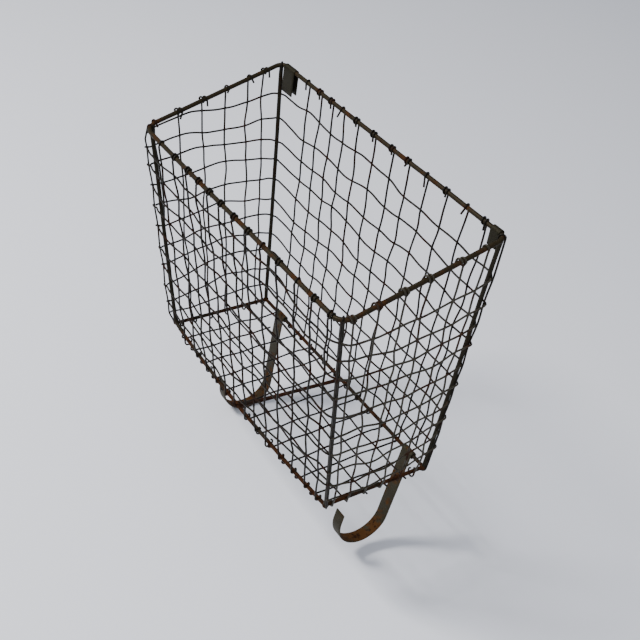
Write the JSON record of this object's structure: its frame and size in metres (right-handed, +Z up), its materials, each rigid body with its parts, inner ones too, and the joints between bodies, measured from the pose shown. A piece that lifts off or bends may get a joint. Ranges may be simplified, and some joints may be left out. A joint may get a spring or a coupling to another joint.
{
  "type": "hanging wire basket",
  "caption": "Open-topped tapered basket of woven wire mesh on a welded rod frame, lower at the front, with strap tabs on the back rim and swinging J hooks on the back bottom rail.",
  "frame": {"origin": "middle of the back rim wire, on its centre line, where the basket is held", "axes": "+Z up, towards the open top; +X along the back rim; -Y towards the front of the basket, so +Y points at the wall behind it"},
  "size_m": [0.3566, 0.1606, 0.404],
  "materials": {
    "rusty_rim": "old bare steel wire, dull olive brown with brown rust patches",
    "dull_olive_wire": "old steel wire with a dull olive brown skin",
    "rusty_rail": "old steel wire, brown with red brown rust",
    "rusty_crossbar": "steel rod with red brown rust all over",
    "dark_mesh_wire": "thin woven steel wire, nearly black with grey tan worn spots",
    "olive_strap": "flat steel strap, dull olive grey",
    "rusty_strap": "flat steel strap, orange brown rust on its inner face and olive grey outside"
  },
  "bodies": {
    "basket": {"rim_wire": "rusty_rim", "corner_post_back_left": "dull_olive_wire", "corner_post_back_right": "dull_olive_wire", "corner_post_front_left": "dull_olive_wire", "corner_post_front_right": "dull_olive_wire", "bottom_rail_back": "rusty_rail", "bottom_rail_front": "rusty_rail", "bottom_rail_left": "rusty_rail", "bottom_rail_right": "rusty_rail", "bottom_crossbar": "rusty_crossbar", "front_mesh": "dark_mesh_wire", "back_mesh": "dark_mesh_wire", "left_mesh": "dark_mesh_wire", "right_mesh": "dark_mesh_wire", "bottom_mesh": "dark_mesh_wire", "corner_wire_back_left": "dark_mesh_wire", "corner_wire_back_right": "dark_mesh_wire", "corner_wire_front_left": "dark_mesh_wire", "corner_wire_front_right": "dark_mesh_wire", "rim_tab_left": "olive_strap", "rim_tab_right": "olive_strap"},
    "hook_left": {"hook_left": "rusty_strap"},
    "hook_right": {"hook_right": "rusty_strap"}
  },
  "joints": [
    {"name": "hook_left_swing", "type": "hinge", "parent": "basket", "child": "hook_left", "pos_m": [-0.116, 0, -0.281], "axis": [1, 0, 0], "range_deg": [-35, 171]},
    {"name": "hook_right_swing", "type": "hinge", "parent": "basket", "child": "hook_right", "pos_m": [0.1272, 0, -0.281], "axis": [1, 0, 0], "range_deg": [-28, 175]}
  ]
}
